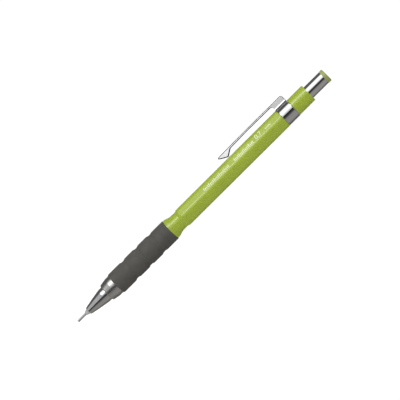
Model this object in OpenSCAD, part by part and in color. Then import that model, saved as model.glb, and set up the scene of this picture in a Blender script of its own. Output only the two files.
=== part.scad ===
// Lead holder: a push-button mechanical pencil with a rubber grip, a steel pocket clip and a retractable sleeve.
// Millimetres. The pencil's axis is Z and the sleeve's mouth is the origin. The push button is at the top,
// and the clip is on the -X side. The hexagonal barrel has a flat under the clip and a corner towards -Y.

/* [Lead] */
// Nominal diameter of the lead
lead_d = 0.7; // [0.5:0.2:0.9]
// Length of one lead
lead_length = 60; // [52:1:62]
// Spare leads in the lead tube
spare_count = 3; // [1:1:4]

/* [Nose] */
// Length of sleeve that stands out of its holder
sleeve_out = 4.3; // [3.8:0.1:4.4]
// Length of the sleeve holder in front of the nose cone
holder_out = 1.9; // [1.6:0.1:1.9]
// Length of the nose cone in front of the collar
nose_length = 10.8; // [10.8:0.1:12]
// Diameter of the nose cone at its mouth
nose_front_d = 3.5; // [3.5:0.1:4]
// Diameter of the nose cone behind its taper
nose_rear_d = 6.8; // [6.8:0.1:7]
// Length of the straight stretch behind the taper
nose_straight = 1.95; // [1.5:0.05:2.5]

/* [Collar and grip] */
// Length of the collar in front of the grip
collar_length = 5.3; // [5:0.1:6]
// Diameter of the collar's front edge
collar_front_d = 8.3; // [8.2:0.1:8.6]
// Diameter of the collar at the grip
collar_rear_d = 9.5; // [9.3:0.1:9.7]
// Length of the rubber grip
grip_length = 31.9; // [30:0.1:34]
// Diameter of the grip over its bands
grip_d = 10.06; // [9.9:0.02:10.6]
// Diameter of the grip's last band
grip_last_d = 9.84; // [9.7:0.02:10.6]
// Diameter at the bottom of the grip's grooves
groove_d = 9.36; // [9.1:0.02:9.6]
// Width of a groove at its mouth
groove_width = 3; // [2.6:0.1:3.2]
// Distance from one groove to the next
groove_pitch = 7.78; // [7:0.01:8]

/* [Barrel] */
// Length of the barrel behind the grip, to the clip band
barrel_length = 65.6; // [60:0.1:72]
// Width of the hexagon across its flats
barrel_flats = 8.6; // [8.6:0.1:9]
// Diameter of the rounded corners
barrel_corner_d = 9.1; // [9.1:0.1:9.4]
// Diameter of the rim behind the grip
rim_d = 9.52; // [9.4:0.02:9.8]
// Diameter of the waist between the rim and the hexagon
waist_d = 7.86; // [7.8:0.02:8.2]
// Diameter of the rear barrel behind the clip band
rear_d = 8.3; // [8.2:0.1:8.6]
// Length of the rear barrel behind the clip band
rear_length = 8.6; // [8:0.1:10]

/* [Clip] */
// Width of the clip band along the barrel
band_length = 6.1; // [5.5:0.1:7]
// Outer diameter of the clip band
band_d = 8.68; // [8.6:0.02:8.8]
// Distance from the axis to the clip's outer face
clip_height = 7.45; // [7.2:0.05:8]
// Length from the clip's free end to the band
clip_length = 31; // [26:0.5:34]
// Width of the clip at the band
clip_width = 4.2; // [3.6:0.1:4.6]
// Width of the clip at its foot
foot_width = 3.4; // [3:0.1:3.6]
// Thickness of the clip's sheet
sheet = 0.4; // [0.35:0.05:0.5]

/* [Button] */
// Length of chrome that stands out of the rear barrel
button_out = 8.8; // [7:0.1:9.5]
// Diameter of the push button
button_d = 6.1; // [6:0.02:6.14]
// Thickness of the button's end cap
cap_thickness = 1.7; // [1.4:0.1:2]
// How far the button can be pressed
push_travel = 3; // [2.5:0.1:3]

/* [Hidden] */

$fn = 96;
corner_steps = 6;
cut = 0.01;

// Stations along the axis, from the mouth to the button
holder_z = sleeve_out;
nose_z = holder_z + holder_out;
collar_z = nose_z + nose_length;
grip_z = collar_z + collar_length;
rim_z = grip_z + grip_length;
band_z = rim_z + barrel_length;
rear_z = band_z + band_length;
button_z = rear_z + rear_length;
cap_z = button_z + button_out;
top_z = cap_z + cap_thickness;

// Lead, sleeve and sleeve holder
lead_r = lead_d / 2;
lead_z = 0.1;
sleeve_r = lead_r + 0.17;
sleeve_bore_r = lead_r + 0.05;
sleeve_in = 4.9;
sleeve_root_r = sleeve_r + 0.18;
sleeve_root_z = holder_z + 0.4;
holder_mouth_r = sleeve_r + 0.13;
holder_r = 1.35;
holder_flange_r = 1.7;
holder_back_r = 1.55;
holder_back_z = nose_z + 4.8;
holder_flange_z = nose_z + 1.9;
retract_travel = sleeve_out + holder_out;
retainer_r = 1.15;
retainer_z = holder_z + sleeve_in;
retainer_bore_r = lead_r + 0.02;

// Nose cone: a slim front bore for the holder, and a wide rear bore for the chuck
nose_front_r = nose_front_d / 2;
nose_rear_r = nose_rear_d / 2;
nose_mouth_r = holder_r + 0.06;
holder_bore_r = holder_flange_r + 0.05;
holder_bore_z = nose_z + 1.8;
stop_bush_z = holder_back_z + retract_travel + 0.1;
stop_bush_length = 0.9;
stop_bush_bore_r = 1.0;
chuck_bore_r = 2.2;
shank_r = 3.0;
nose_shoulder_z = collar_z + 0.6;
nose_end_z = collar_z + 7;

// Collar, and the barrel's core under the grip
collar_front_r = collar_front_d / 2;
collar_rear_r = collar_rear_d / 2;
collar_mouth_r = nose_rear_r + 0.05;
collar_cone_length = 3.1;
thread_bore_r = shank_r + 0.03;
spigot_r = 3.5;
spigot_z = grip_z + 5.2;
core_r = 3.95;
groove_z = grip_z + 8.37;
groove_floor = groove_width / 2;

// Barrel
bore_r = 2.95;
rim_length = 0.9;
waist_z = rim_z + 4.7;
waist_end_z = rim_z + 6;
hex_z = rim_z + 7.7;
rear_bore_r = 3.55;
rear_spigot_z = band_z - 7.3;

// Clip
band_r = band_d / 2;
band_bore_r = band_r - 0.38;
arm_root_z = band_z - 0.05;
arm_depth = 1.1;
root_fillet = 1.1;
foot_z = band_z - clip_length;
foot_depth = clip_height - barrel_flats / 2 - 0.12;
keel_z = foot_z + 3.6;
foot_back_z = foot_z + 6.6;

// Chuck, clutch ring, housing and spring. The chuck stands clear of the bush when it is pressed forward.
chuck_z = stop_bush_z + stop_bush_length + push_travel + 0.2;
jaw_taper_z = chuck_z + 0.5;
jaw_front_r = 1.85;
jaw_back_r = 1.22;
jaw_taper_length = 5.7;
jaw_slope = (jaw_front_r - jaw_back_r) / jaw_taper_length;
jaw_bore_r = lead_r + 0.01;
jaw_count = 3;
jaw_slit = 0.3;
jaw_end_z = chuck_z + 11.5;
base_z = jaw_end_z + 0.15;
base_length = 7.4;
base_bore_r = lead_r + 0.1;
ring_travel = 0.8;
ring_z = nose_end_z + ring_travel + 0.02;
ring_length = 2;
ring_r = 2.45;
ring_play = 0.03;
housing_z = nose_end_z + 0.05;
housing_pocket_r = ring_r + 0.05;
seat_z = ring_z + ring_length + 0.05;
seat_length = 3.15;
seat_bore_r = 1.65;
chamber_r = 2.5;
housing_end_z = seat_z + 19.4;
spring_z = seat_z + seat_length;
spring_length = 13;
spring_r = 1.95;
wire_r = 0.2;
spring_turns = 9;
spring_steps = 16;
wire_sides = 6;

// Lead tube, eraser and button
connector_front_z = base_z + 3.5;
connector_flange_z = spring_z + spring_length;
connector_r = 1.6;
connector_flange_r = chamber_r - 0.08;
connector_bore_r = lead_r + 0.15;
tube_z = connector_flange_z + 2;
connector_end_z = tube_z + 4;
tube_r = 2.2;
tube_bore_r = 1.75;
tube_end_z = button_z + 3;
eraser_r = 1.5;
holder_cup_z = tube_end_z - 3.5;
eraser_flange = 0.6;
eraser_z = holder_cup_z + 0.2;
button_r = button_d / 2;
shell_bore_r = button_r - 0.25;
shell_z = button_z - push_travel - 1;
skirt_z = button_z - 2.5;
skirt_bore_r = tube_r + 0.05;
cap_pocket_r = tube_r - 0.15;
cap_step_z = tube_end_z + eraser_flange + 0.05;
cap_floor_z = cap_z - 0.5;
cap_r = button_r + 0.02;
eraser_end_z = cap_floor_z - 0.6;
button_bore_r = button_r + 0.07;
button_bore_z = shell_z - push_travel - 0.5;
tube_guide_r = tube_r + 0.1;

// Points of one corner of an outline, rounded to radius r
function corner(a, b, c, r) =
    r <= 0 ? [b] :
    let (
        u = (a - b) / norm(a - b),
        w = (c - b) / norm(c - b),
        half = acos(u * w) / 2,
        centre = b + (u + w) / norm(u + w) * r / sin(half),
        first = b + u * r / tan(half) - centre,
        last = b + w * r / tan(half) - centre,
        start = atan2(first.y, first.x),
        sweep = (atan2(last.y, last.x) - start + 540) % 360 - 180
    )
    [for (i = [0 : corner_steps])
        centre + r * [cos(start + sweep * i / corner_steps), sin(start + sweep * i / corner_steps)]];

// A closed outline from vertices [x, y, radius]
function rounded(v) =
    let (n = len(v))
    [for (i = [0 : n - 1])
        each corner(
            [v[(i + n - 1) % n].x, v[(i + n - 1) % n].y],
            [v[i].x, v[i].y],
            [v[(i + 1) % n].x, v[(i + 1) % n].y],
            v[i].z
        )];

// A body of revolution from vertices [radius, height, corner radius]
module turned(vertices) {
    rotate_extrude()
        polygon(rounded(vertices));
}

// A plain tube about the axis
module tube(z0, z1, outer_r, inner_r) {
    turned([[inner_r, z0, 0], [outer_r, z0, 0], [outer_r, z1, 0], [inner_r, z1, 0]]);
}

// A plain bore about the axis, cut past both ends
module bore(z0, z1, r) {
    translate([0, 0, z0])
        cylinder(r = r, h = z1 - z0);
}

module barrel() {
    hexagon_r = barrel_flats / 2 / cos(30);
    corner_r = barrel_corner_d / 2;
    envelope_r = rim_d;
    color([0.62, 0.73, 0.27])
        difference() {
            intersection() {
                turned([
                    [0, grip_z, 0],
                    [core_r, grip_z, 0.2],
                    [core_r, rim_z, 0],
                    [rim_d / 2, rim_z, 0.15],
                    [rim_d / 2, rim_z + rim_length, 0.5],
                    [waist_d / 2 + 0.2, rim_z + 3.3, 3],
                    [waist_d / 2, waist_z, 3],
                    [waist_d / 2, waist_end_z, 0.8],
                    [corner_r, hex_z + 0.2, 0.6],
                    [corner_r, band_z - 0.9, 0.2],
                    [band_r - 0.05, band_z, 0],
                    [0, band_z, 0]
                ]);
                union() {
                    translate([0, 0, grip_z])
                        cylinder(r = envelope_r, h = waist_end_z - grip_z);
                    translate([0, 0, waist_end_z])
                        rotate(30)
                            cylinder(r = hexagon_r, h = band_z - waist_end_z, $fn = 6);
                }
            }
            bore(grip_z - cut, spigot_z, spigot_r);
            bore(grip_z, band_z, bore_r);
            bore(rear_spigot_z, band_z + cut, rear_bore_r);
        }
}

// The grip's outline, from its first groove to its last
function groove_points(z, before_r, after_r) = [
    [before_r, z - groove_width / 2, 0.5],
    [groove_d / 2, z - groove_floor / 2, 0.5],
    [groove_d / 2, z + groove_floor / 2, 0.5],
    [after_r, z + groove_width / 2, 0.5]
];

module grip() {
    band = grip_d / 2;
    last = grip_last_d / 2;
    color([0.3, 0.3, 0.29])
        turned(concat(
            [[core_r, grip_z, 0], [band, grip_z, 0.25]],
            groove_points(groove_z, band, band),
            groove_points(groove_z + groove_pitch, band, band),
            groove_points(groove_z + 2 * groove_pitch, band, last),
            [[last, rim_z, 0.2], [core_r, rim_z, 0]]
        ));
}

module front_collar() {
    color([0.78, 0.78, 0.8])
        turned([
            [thread_bore_r, nose_shoulder_z, 0],
            [collar_mouth_r, nose_shoulder_z, 0],
            [collar_mouth_r, collar_z, 0.05],
            [collar_front_r - 0.05, collar_z, 0.25],
            [collar_front_r + 0.1, collar_z + 0.5, 0],
            [collar_rear_r - 0.04, collar_z + collar_cone_length, 0.8],
            [collar_rear_r, grip_z, 0],
            [spigot_r, grip_z, 0],
            [spigot_r, spigot_z, 0],
            [thread_bore_r, spigot_z, 0]
        ]);
}

module rear_barrel() {
    color([0.62, 0.73, 0.27])
        turned([
            [tube_guide_r, rear_spigot_z, 0],
            [rear_bore_r, rear_spigot_z, 0],
            [rear_bore_r, band_z, 0],
            [band_bore_r, band_z, 0],
            [band_bore_r, rear_z, 0],
            [rear_d / 2, rear_z, 0.1],
            [rear_d / 2, button_z, 0.25],
            [button_bore_r, button_z, 0.1],
            [button_bore_r, button_bore_z, 0],
            [tube_guide_r, button_bore_z, 0]
        ]);
}

// Side view of the clip's root box, [x, z, corner radius], from the band to the outer face
module box_side(inset) {
    top = rear_z - 0.2;
    polygon(rounded([
        [-band_r + 0.4, band_z, 0],
        [-clip_height + inset, band_z, 0],
        [-clip_height + inset, top - inset, 1 - inset],
        [-band_r + 0.4, top - inset, 0]
    ]));
}

// Side view of the arm and its foot
module arm_side() {
    inner = -clip_height + arm_depth;
    keel = -clip_height + foot_depth;
    polygon(rounded([
        [-clip_height, arm_root_z, 0],
        [inner + root_fillet, arm_root_z, 0],
        [inner, arm_root_z - root_fillet, root_fillet / 2],
        [inner, foot_back_z, 0.8],
        [keel, keel_z, 0.6],
        [inner - 0.4, foot_z, 0.3],
        [-clip_height + 0.25, foot_z, 0.2],
        [-clip_height, foot_z + 1.5, 2]
    ]));
}

// A side view extruded across the clip, centred on the barrel
module across(width) {
    rotate([90, 0, 0])
        linear_extrude(height = width, center = true)
            children();
}

module clip_band() {
    color([0.78, 0.78, 0.8]) {
        difference() {
            union() {
                tube(band_z, rear_z, band_r, band_bore_r);
                across(clip_width)
                    box_side(0);
            }
            across(clip_width - 2 * sheet)
                box_side(sheet);
            bore(band_z - 1, rear_z + 1, band_bore_r);
        }
    }
}

module clip_arm() {
    arm_top = -clip_height + sheet;
    channel_end = foot_back_z + 0.4;
    channel_width = foot_width - 2 * sheet;
    color([0.78, 0.78, 0.8])
        difference() {
            intersection() {
                across(clip_width)
                    arm_side();
                translate([-clip_height - 1, 0, 0])
                    rotate([90, 0, 90])
                        linear_extrude(height = clip_height)
                            polygon(rounded([
                                [-clip_width / 2, arm_root_z + 1, 0],
                                [-foot_width / 2, foot_z, 1.4],
                                [foot_width / 2, foot_z, 1.4],
                                [clip_width / 2, arm_root_z + 1, 0]
                            ]));
            }
            translate([arm_top, -channel_width / 2, channel_end])
                cube([clip_height, channel_width, arm_root_z + 1 - channel_end]);
        }
}

module nose_cone() {
    color([0.78, 0.78, 0.8])
        turned([
            [nose_mouth_r, nose_z, 0.04],
            [nose_front_r, nose_z, 0.2],
            [nose_rear_r, collar_z - nose_straight, 0.5],
            [nose_rear_r, nose_shoulder_z, 0],
            [shank_r, nose_shoulder_z, 0],
            [shank_r, nose_end_z, 0.2],
            [chuck_bore_r, nose_end_z, 0],
            [chuck_bore_r, stop_bush_z, 0],
            [holder_bore_r, stop_bush_z, 0],
            [holder_bore_r, holder_bore_z, 0],
            [nose_mouth_r, holder_bore_z, 0]
        ]);
}

module sleeve_stop_bush() {
    color([0.85, 0.72, 0.4])
        tube(stop_bush_z, stop_bush_z + stop_bush_length, chuck_bore_r, stop_bush_bore_r);
}

module sleeve_holder() {
    color([0.7, 0.7, 0.68])
        turned([
            [sleeve_r, holder_z, 0],
            [holder_mouth_r, holder_z, 0.1],
            [holder_r, nose_z, 0.5],
            [holder_r, holder_flange_z, 0],
            [holder_flange_r, holder_flange_z, 0],
            [holder_flange_r, holder_flange_z + 0.9, 0],
            [holder_back_r, holder_flange_z + 0.9, 0],
            [holder_back_r, holder_back_z, 0.1],
            [retainer_r, holder_back_z, 0],
            [retainer_r, retainer_z, 0],
            [sleeve_root_r, retainer_z, 0],
            [sleeve_root_r, sleeve_root_z, 0],
            [sleeve_r, sleeve_root_z, 0]
        ]);
}

module lead_sleeve() {
    color([0.8, 0.8, 0.8])
        turned([
            [sleeve_bore_r, 0, 0],
            [sleeve_r, 0, 0.06],
            [sleeve_r, sleeve_root_z, 0],
            [sleeve_root_r, sleeve_root_z, 0],
            [sleeve_root_r, retainer_z, 0],
            [sleeve_bore_r, retainer_z, 0]
        ]);
}

module lead_retainer() {
    color([0.15, 0.15, 0.15])
        tube(retainer_z, holder_back_z - 0.2, retainer_r, retainer_bore_r);
}

module chuck_housing() {
    color([0.85, 0.85, 0.83])
        turned([
            [housing_pocket_r, housing_z, 0],
            [bore_r, housing_z, 0.1],
            [bore_r, housing_end_z, 0.1],
            [chamber_r, housing_end_z, 0],
            [chamber_r, spring_z, 0],
            [seat_bore_r, spring_z, 0],
            [seat_bore_r, seat_z, 0],
            [housing_pocket_r, seat_z, 0]
        ]);
}

// Radius of the closed chuck's taper at height z
function taper_r(z) = jaw_front_r - jaw_slope * (z - jaw_taper_z);

module clutch_ring() {
    color([0.85, 0.72, 0.4])
        turned([
            [taper_r(ring_z) + ring_play, ring_z, 0],
            [ring_r, ring_z, 0.15],
            [ring_r, ring_z + ring_length, 0.15],
            [taper_r(ring_z + ring_length) + ring_play, ring_z + ring_length, 0]
        ]);
}

module chuck_base() {
    color([0.85, 0.72, 0.4])
        tube(base_z, base_z + base_length, jaw_back_r, base_bore_r);
}

// One of the chuck's jaws: a third of the tapered collet, less half a slit on each side
module chuck_jaw(index) {
    reach = 3;
    color([0.85, 0.72, 0.4])
        rotate(index * 360 / jaw_count)
            intersection() {
                turned([
                    [jaw_bore_r, chuck_z, 0],
                    [jaw_front_r - 0.35, chuck_z, 0],
                    [jaw_front_r, jaw_taper_z, 0],
                    [jaw_back_r, jaw_taper_z + jaw_taper_length, 0],
                    [jaw_back_r, jaw_end_z, 0],
                    [jaw_bore_r, jaw_end_z, 0]
                ]);
                translate([0, 0, chuck_z])
                    linear_extrude(height = jaw_end_z - chuck_z)
                        polygon([
                            [jaw_slit / 2 / sin(60), 0],
                            [reach, (reach - jaw_slit / 2 / sin(60)) * tan(60)],
                            [reach, -(reach - jaw_slit / 2 / sin(60)) * tan(60)]
                        ]);
            }
}

module tube_connector() {
    funnel_r = tube_bore_r - 0.3;
    color([0.85, 0.85, 0.83])
        turned([
            [jaw_back_r, connector_front_z, 0],
            [connector_r, connector_front_z, 0.1],
            [connector_r, connector_flange_z, 0],
            [connector_flange_r, connector_flange_z, 0],
            [connector_flange_r, tube_z, 0],
            [tube_bore_r, tube_z, 0],
            [tube_bore_r, connector_end_z, 0],
            [funnel_r, connector_end_z, 0],
            [connector_bore_r, tube_z, 0],
            [connector_bore_r, base_z + base_length, 0],
            [jaw_back_r, base_z + base_length, 0]
        ]);
}

// A compression spring: rings of wire_sides points along a helix, capped at both ends
module chuck_spring() {
    rings = spring_turns * spring_steps;
    rise = spring_length - 2 * wire_r;
    points = [for (i = [0 : rings], k = [0 : wire_sides - 1])
        let (
            turn = 360 * i / spring_steps,
            side = 360 * k / wire_sides,
            r = spring_r + wire_r * cos(side)
        )
        [r * cos(turn), r * sin(turn), spring_z + wire_r + rise * i / rings + wire_r * sin(side)]];
    walls = [for (i = [0 : rings - 1], k = [0 : wire_sides - 1])
        let (next = (k + 1) % wire_sides)
        [
            i * wire_sides + k,
            i * wire_sides + next,
            (i + 1) * wire_sides + next,
            (i + 1) * wire_sides + k
        ]];
    first_cap = [for (k = [wire_sides - 1 : -1 : 0]) k];
    last_cap = [for (k = [0 : wire_sides - 1]) rings * wire_sides + k];
    color([0.7, 0.7, 0.72])
        polyhedron(points = points, faces = concat(walls, [first_cap, last_cap]), convexity = 10);
}

module lead_tube() {
    color([0.9, 0.92, 0.9])
        tube(tube_z, tube_end_z, tube_r, tube_bore_r);
}

module eraser_holder() {
    color([0.92, 0.92, 0.9])
        turned([
            [0, holder_cup_z, 0],
            [tube_bore_r, holder_cup_z, 0.2],
            [tube_bore_r, tube_end_z, 0],
            [tube_r, tube_end_z, 0],
            [tube_r, tube_end_z + eraser_flange, 0.15],
            [eraser_r, tube_end_z + eraser_flange, 0],
            [eraser_r, eraser_z, 0],
            [0, eraser_z, 0]
        ]);
}

module eraser() {
    color([0.96, 0.96, 0.95])
        turned([
            [0, eraser_z, 0],
            [eraser_r, eraser_z, 0],
            [eraser_r, eraser_end_z, 0.2],
            [0, eraser_end_z, 0]
        ]);
}

module button_shell() {
    color([0.78, 0.78, 0.8])
        turned([
            [shell_bore_r, shell_z, 0],
            [button_r, shell_z, 0.1],
            [button_r, cap_z, 0.08],
            [shell_bore_r, cap_z, 0]
        ]);
}

module button_cap() {
    color([0.62, 0.73, 0.27])
        turned([
            [skirt_bore_r, skirt_z, 0],
            [shell_bore_r, skirt_z, 0],
            [shell_bore_r, cap_z, 0],
            [cap_r, cap_z, 0.05],
            [cap_r, top_z, 0.35],
            [0, top_z, 0],
            [0, cap_floor_z, 0],
            [cap_pocket_r, cap_floor_z, 0],
            [cap_pocket_r, cap_step_z, 0],
            [skirt_bore_r, cap_step_z, 0]
        ]);
}

module one_lead(z) {
    translate([0, 0, z])
        cylinder(r = lead_r, h = lead_length);
}

module lead() {
    color([0.2, 0.2, 0.22])
        one_lead(lead_z);
}

module spare_leads() {
    ring = tube_bore_r - lead_r - 0.1;
    color([0.2, 0.2, 0.22])
        for (i = [0 : spare_count - 1])
            rotate(90 + i * 360 / spare_count)
                translate([ring, 0, 0])
                    one_lead(connector_end_z + 0.3);
}

barrel();
grip();
front_collar();
rear_barrel();
clip_band();
clip_arm();
nose_cone();
sleeve_stop_bush();
sleeve_holder();
lead_sleeve();
lead_retainer();
chuck_housing();
clutch_ring();
chuck_base();
chuck_jaw(0);  // chuck_jaw_1
chuck_jaw(1);  // chuck_jaw_2
chuck_jaw(2);  // chuck_jaw_3
tube_connector();
chuck_spring();
lead_tube();
eraser_holder();
eraser();
button_shell();
button_cap();
lead();
spare_leads();
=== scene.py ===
"""A push-button lead holder: its visible pieces, their materials, and a plain studio.

Sizes in this file are in millimetres and become metres where a mesh is made. Z runs along the pencil from the
sleeve's mouth to the button, the clip is on the -X side, and the camera looks from -Y.
"""
import math

import bmesh
import bpy
from mathutils import Matrix, Vector


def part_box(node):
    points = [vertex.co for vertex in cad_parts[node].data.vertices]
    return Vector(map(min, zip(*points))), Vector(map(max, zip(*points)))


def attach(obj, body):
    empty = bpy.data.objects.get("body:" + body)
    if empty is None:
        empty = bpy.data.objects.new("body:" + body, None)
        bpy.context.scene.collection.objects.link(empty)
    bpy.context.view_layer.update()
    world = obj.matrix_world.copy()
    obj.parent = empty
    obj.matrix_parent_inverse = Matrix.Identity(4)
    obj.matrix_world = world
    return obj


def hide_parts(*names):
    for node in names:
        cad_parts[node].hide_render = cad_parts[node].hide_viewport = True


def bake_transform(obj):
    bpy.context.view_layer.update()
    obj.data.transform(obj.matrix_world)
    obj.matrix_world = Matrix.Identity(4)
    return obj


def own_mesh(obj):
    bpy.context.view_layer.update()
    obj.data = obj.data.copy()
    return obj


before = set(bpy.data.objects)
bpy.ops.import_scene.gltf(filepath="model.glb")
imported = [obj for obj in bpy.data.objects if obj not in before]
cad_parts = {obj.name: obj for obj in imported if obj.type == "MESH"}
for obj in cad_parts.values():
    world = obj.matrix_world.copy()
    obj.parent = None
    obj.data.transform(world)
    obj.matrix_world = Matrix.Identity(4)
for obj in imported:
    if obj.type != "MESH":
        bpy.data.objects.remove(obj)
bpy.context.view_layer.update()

MM = 0.001
SEGMENTS = 128
HEX_SEGMENTS = 240


# ---------------------------------------------------------------- stations

def span(node):
    """Lowest and highest z of a CAD node, in millimetres."""
    low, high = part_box(node)
    return low.z / MM, high.z / MM


HOLDER_Z, HOLDER_END = span("sleeve_holder")
NOSE_Z, NOSE_END = span("nose_cone")
COLLAR_Z, COLLAR_END = span("front_collar")
GRIP_Z, RIM_Z = span("grip")
BAND_Z, BAND_END = span("clip_band")
FOOT_Z, ARM_ROOT_Z = span("clip_arm")
REAR_SPIGOT_Z, BUTTON_Z = span("rear_barrel")
SHELL_Z, CAP_Z = span("button_shell")
SKIRT_Z, TOP_Z = span("button_cap")
SPRING_Z, SPRING_END = span("chuck_spring")
SLEEVE_END = span("lead_sleeve")[1]
BUSH_Z = span("sleeve_stop_bush")[0]
PLUG_END = span("eraser_holder")[1]

HEX_APOTHEM = 4.3
HEX_CORNER = 4.55
INNER_LIMIT = 3.6
BORE = 2.95
BAND_R = 4.34
BAND_BORE = 3.96


# ---------------------------------------------------------------- outlines

def corner(before, here, after, fillet, steps):
    """The points of one corner, rounded to a radius."""
    u = (before - here).normalized()
    w = (after - here).normalized()
    half = u.angle(w) / 2
    centre = here + (u + w).normalized() * fillet / math.sin(half)
    first = here + u * fillet / math.tan(half) - centre
    last = here + w * fillet / math.tan(half) - centre
    start = math.atan2(first.y, first.x)
    sweep = (math.atan2(last.y, last.x) - start + 3 * math.pi) % (2 * math.pi) - math.pi
    turn = [start + sweep * k / steps for k in range(steps + 1)]
    return [centre + Vector((math.cos(a), math.sin(a))) * fillet for a in turn]


def rounded(vertices, steps=7, hold=0.06):
    """A closed outline through (r, z, fillet) vertices.

    Where there is room, a point just before and after each corner holds the shading of the straight.
    """
    spots = [Vector(v[:2]) for v in vertices]
    count = len(spots)
    points = []
    for i, vertex in enumerate(vertices):
        before, here, after = spots[i - 1], spots[i], spots[(i + 1) % count]
        if vertex[2] > 0:
            made = corner(before, here, after, vertex[2], steps)
        else:
            made = [here]
        for end, other in ((0, before), (-1, after)):
            room = (other - made[end]).length
            if room > 6 * hold:
                held = made[end] + (other - made[end]).normalized() * hold
                made = [held] + made if end == 0 else made + [held]
        points += made
    return [(p.x, p.y) for p in points]


def refined(points, low, high, step):
    """The outline, with each outer edge that reaches between two heights cut all along into steps."""
    made = []
    for i, (r, z) in enumerate(points):
        made.append((r, z))
        r2, z2 = points[(i + 1) % len(points)]
        outer = min(r, r2) > INNER_LIMIT
        inside = min(z, z2) < high and max(z, z2) > low
        cuts = int(abs(z2 - z) / step)
        if outer and inside and cuts > 1:
            made += [(r + (r2 - r) * k / cuts, z + (z2 - z) * k / cuts) for k in range(1, cuts)]
    return made


# ---------------------------------------------------------------- meshes

def finish_piece(name, verts, faces, body, material, nodes, sharp=32):
    """A mesh object from vertices in millimetres, smooth except at real edges, riding on its body."""
    mesh = bpy.data.meshes.new(name)
    mesh.from_pydata([(x * MM, y * MM, z * MM) for x, y, z in verts], [], faces)
    tidy = bmesh.new()
    tidy.from_mesh(mesh)
    bmesh.ops.recalc_face_normals(tidy, faces=tidy.faces)
    tidy.to_mesh(mesh)
    tidy.free()
    mesh.polygons.foreach_set("use_smooth", [True] * len(mesh.polygons))
    mesh.set_sharp_from_angle(angle=math.radians(sharp))
    mesh.materials.append(material)
    obj = bpy.data.objects.new(name, mesh)
    bpy.context.scene.collection.objects.link(obj)
    if body:
        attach(obj, body)
    if nodes:
        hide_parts(*nodes)
    return obj


def lathe(outline, shape=None, segments=SEGMENTS):
    """Vertices and faces of a body of revolution. shape(angle, r, z) may move a point in or out."""
    verts, faces, rings = [], [], []
    for r, z in outline:
        if r < 1e-6:
            rings.append([len(verts)] * segments)
            verts.append((0, 0, z))
            continue
        rings.append(list(range(len(verts), len(verts) + segments)))
        for k in range(segments):
            angle = 2 * math.pi * k / segments
            reach = shape(angle, r, z) if shape else r
            verts.append((reach * math.cos(angle), reach * math.sin(angle), z))
    for i, ring in enumerate(rings):
        other = rings[(i + 1) % len(rings)]
        for k in range(segments):
            n = (k + 1) % segments
            face = list(dict.fromkeys((ring[k], ring[n], other[n], other[k])))
            if len(face) > 2:
                faces.append(face)
    return verts, faces


def turned(name, outline, body, material, nodes, shape=None, segments=SEGMENTS):
    """A lathed piece from its outline."""
    verts, faces = lathe(outline, shape, segments)
    return finish_piece(name, verts, faces, body, material, nodes)


# ---------------------------------------------------------------- node trees

class Tree:
    """A material's node tree, with short calls for the nodes that this file uses."""

    def __init__(self, name):
        self.material = bpy.data.materials.new(name)
        self.material.use_nodes = True
        self.tree = self.material.node_tree
        self.shader = self.tree.nodes["Principled BSDF"]
        self.place = self.node("ShaderNodeTexCoord").outputs["Object"]

    def node(self, kind, **settings):
        made = self.tree.nodes.new(kind)
        for key, value in settings.items():
            setattr(made, key, value)
        return made

    def feed(self, socket, value):
        if isinstance(value, bpy.types.NodeSocket):
            self.tree.links.new(value, socket)
        else:
            socket.default_value = value

    def set(self, **values):
        """Sets or links the shader's own sockets."""
        for key, value in values.items():
            self.feed(self.shader.inputs[key.replace("_", " ")], value)

    def math(self, operation, a, b=0.0, clamp=False):
        made = self.node("ShaderNodeMath", operation=operation, use_clamp=clamp)
        self.feed(made.inputs[0], a)
        self.feed(made.inputs[1], b)
        return made.outputs[0]

    def stretched(self, scale):
        """Object coordinates in millimetres, scaled differently along each axis."""
        made = self.node("ShaderNodeMapping")
        self.feed(made.inputs["Vector"], self.place)
        made.inputs["Scale"].default_value = [s / MM for s in scale]
        return made.outputs["Vector"]

    def noise(self, scale, detail=3.0, roughness=0.55, stretch=(1, 1, 1)):
        made = self.node("ShaderNodeTexNoise")
        self.feed(made.inputs["Vector"], self.stretched(stretch))
        made.inputs["Scale"].default_value = scale
        made.inputs["Detail"].default_value = detail
        made.inputs["Roughness"].default_value = roughness
        return made.outputs["Fac"]

    def cells(self, scale):
        made = self.node("ShaderNodeTexVoronoi", feature="F1")
        self.feed(made.inputs["Vector"], self.stretched((1, 1, 1)))
        made.inputs["Scale"].default_value = scale
        return made.outputs["Distance"]

    def ramp(self, value, *stops):
        """Maps a value to the stops, each (position, level or colour)."""
        made = self.node("ShaderNodeValToRGB")
        self.feed(made.inputs["Fac"], value)
        elements = made.color_ramp.elements
        while len(elements) < len(stops):
            elements.new(0.5)
        for element, (position, level) in zip(elements, stops):
            element.position = position
            rgb = level if isinstance(level, tuple) else (level,) * 3
            element.color = (*rgb, 1)
        return made.outputs["Color"]

    def blend(self, share, a, b):
        made = self.node("ShaderNodeMix", data_type="RGBA")
        self.feed(made.inputs["Factor"], share)
        colours = [s for s in made.inputs if s.type == "RGBA"]
        for socket, value in zip(colours, (a, b)):
            self.feed(socket, (*value, 1) if isinstance(value, tuple) else value)
        return next(s for s in made.outputs if s.type == "RGBA")

    def worn(self, low, high):
        """0 on flats, 1 along convex edges."""
        point = self.node("ShaderNodeNewGeometry").outputs["Pointiness"]
        return self.ramp(point, (low, 0.0), (high, 1.0))

    def bump(self, *layers):
        """Stacks (height, depth in millimetres, strength) layers."""
        normal = None
        for height, depth, strength in layers:
            made = self.node("ShaderNodeBump")
            made.inputs["Strength"].default_value = strength
            made.inputs["Distance"].default_value = depth * MM
            self.feed(made.inputs["Height"], height)
            if normal is not None:
                self.feed(made.inputs["Normal"], normal)
            normal = made.outputs["Normal"]
        self.feed(self.shader.inputs["Normal"], normal)


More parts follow.
